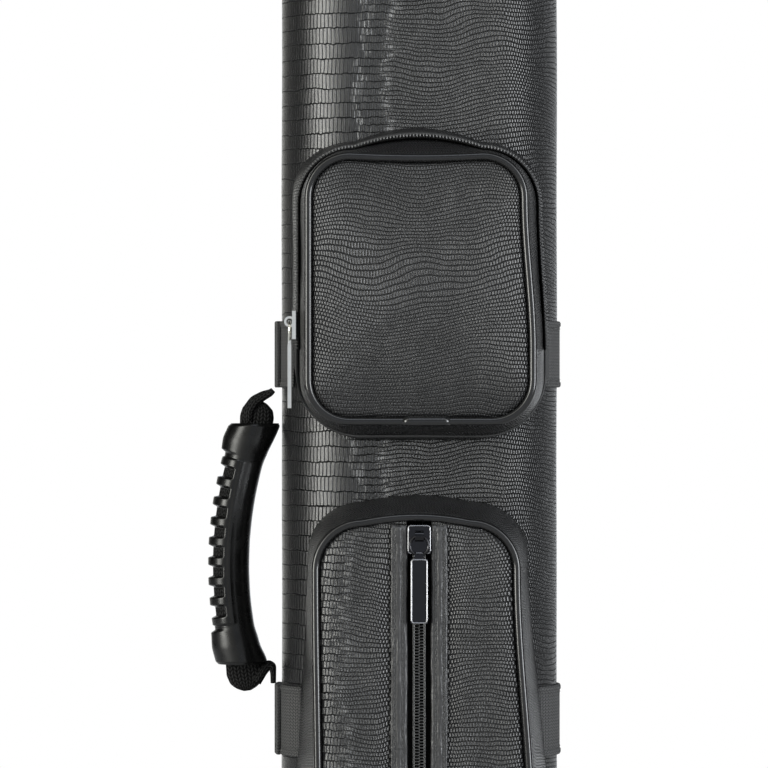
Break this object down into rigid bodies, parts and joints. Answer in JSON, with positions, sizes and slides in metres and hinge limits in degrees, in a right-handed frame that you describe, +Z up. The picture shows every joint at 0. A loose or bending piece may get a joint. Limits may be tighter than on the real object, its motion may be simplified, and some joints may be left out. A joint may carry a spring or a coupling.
{
  "type": "cue case",
  "caption": "Upright hard cue case with an oval lidded body, padded cells, two zipped front pockets and a moulded side handle.",
  "frame": {"origin": "centre of the boot's underside, which stands on the ground", "axes": "+Z up along the case, -Y towards the front with its pockets, -X towards the handle"},
  "size_m": [0.1923, 0.1363, 0.864],
  "materials": {
    "leatherette": "lizard-embossed leatherette, satin",
    "plain_vinyl": "fine twill vinyl, matt",
    "piping": "round vinyl piping, glossy",
    "webbing": "woven polyester, matt",
    "plush": "short plush, matt",
    "foam": "plush over foam, matt",
    "shell": "hard moulded shell, matt",
    "grip": "moulded grip, satin",
    "zip_nylon": "nylon coil, satin",
    "bright_metal": "nickel plated, polished",
    "dark_metal": "black nickel, glossy"
  },
  "bodies": {
    "case": {"body_cover": "leatherette", "hinge_strip_body": "leatherette", "upper_pocket_base_gusset": "leatherette", "lower_pocket_gusset": "leatherette", "lower_pocket_panel_left": "leatherette", "lower_pocket_panel_right": "leatherette", "zip_strip_left": "leatherette", "zip_strip_right": "leatherette", "boot_sole": "plain_vinyl", "boot_wall": "plain_vinyl", "body_rim": "plain_vinyl", "upper_band": "plain_vinyl", "lower_band": "plain_vinyl", "lower_pocket_piping": "piping", "handle_anchor_upper": "webbing", "handle_anchor_lower": "webbing", "strap_tab_upper": "webbing", "strap_tab_lower": "webbing", "lower_zip_tape": "webbing", "liner": "plush", "mouth_collar": "plush", "divider_wall": "plush", "butt_divider_left": "plush", "butt_divider_right": "plush", "shaft_divider_1": "plush", "shaft_divider_2": "plush", "shaft_divider_3": "plush", "shaft_divider_4": "plush", "floor_pad": "foam", "shell_front": "shell", "shell_back": "shell", "upper_zip_chain_base": "zip_nylon", "lower_zip_coil": "zip_nylon", "keeper_plate": "bright_metal"},
    "lid": {"lid_rim": "plain_vinyl", "lid_cover": "leatherette", "lid_crown": "leatherette", "lid_top_plate": "shell", "lid_shell_front": "shell", "lid_shell_back": "shell", "lid_pad": "foam", "lid_liner": "plush", "hinge_strip_lid": "leatherette", "tab_anchor": "plain_vinyl"},
    "tab": {"closure_tab": "plain_vinyl", "tab_magnet": "bright_metal", "tab_cap": "dark_metal"},
    "flap": {"upper_pocket_flap_gusset": "leatherette", "upper_pocket_face": "leatherette", "upper_pocket_piping": "piping", "upper_zip_chain_flap": "zip_nylon"},
    "handle": {"handle_grip": "grip", "handle_webbing": "webbing"},
    "upper_slider": {"upper_zip_slider": "bright_metal"},
    "upper_pull": {"upper_zip_pull": "bright_metal"},
    "lower_slider": {"lower_zip_slider": "dark_metal"},
    "lower_pull": {"lower_zip_pull": "dark_metal"},
    "upper_ring": {"strap_ring_upper": "dark_metal"},
    "lower_ring": {"strap_ring_lower": "dark_metal"}
  },
  "joints": [
    {"name": "lid_hinge", "type": "hinge", "parent": "case", "child": "lid", "pos_m": [0, 0.0438, 0.7443], "axis": [-1, 0, 0], "range_deg": [0, 150]},
    {"name": "closure_tab_lift", "type": "hinge", "parent": "lid", "child": "tab", "pos_m": [0, -0.0473, 0.76785], "axis": [-1, 0, 0], "range_deg": [0, 110]},
    {"name": "upper_flap", "type": "hinge", "parent": "case", "child": "flap", "pos_m": [0, -0.059, 0.4925], "axis": [1, 0, 0], "range_deg": [0, 75]},
    {"name": "upper_slider_travel", "type": "slide", "parent": "case", "child": "upper_slider", "axis": [0, 0, 1], "range_m": [0, 0.055]},
    {"name": "upper_pull_swing", "type": "hinge", "parent": "upper_slider", "child": "upper_pull", "pos_m": [-0.0693, -0.059, 0.551], "axis": [0, 1, 0], "range_deg": [0, 110]},
    {"name": "lower_slider_travel", "type": "slide", "parent": "case", "child": "lower_slider", "axis": [0, 0, -1], "range_m": [0, 0.34]},
    {"name": "lower_pull_swing", "type": "hinge", "parent": "lower_slider", "child": "lower_pull", "pos_m": [-0.0007, -0.0841, 0.438], "axis": [-1, 0, 0], "range_deg": [0, 120]},
    {"name": "handle_swing", "type": "hinge", "parent": "case", "child": "handle", "pos_m": [-0.0795, 0, 0.43], "axis": [0, 0, 1], "range_deg": [-30, 30]},
    {"name": "upper_ring_swing", "type": "hinge", "parent": "case", "child": "upper_ring", "pos_m": [0, 0.0458, 0.663], "axis": [1, 0, 0], "range_deg": [0, 90]},
    {"name": "lower_ring_swing", "type": "hinge", "parent": "case", "child": "lower_ring", "pos_m": [0, 0.0458, 0.132], "axis": [1, 0, 0], "range_deg": [0, 90]}
  ]
}
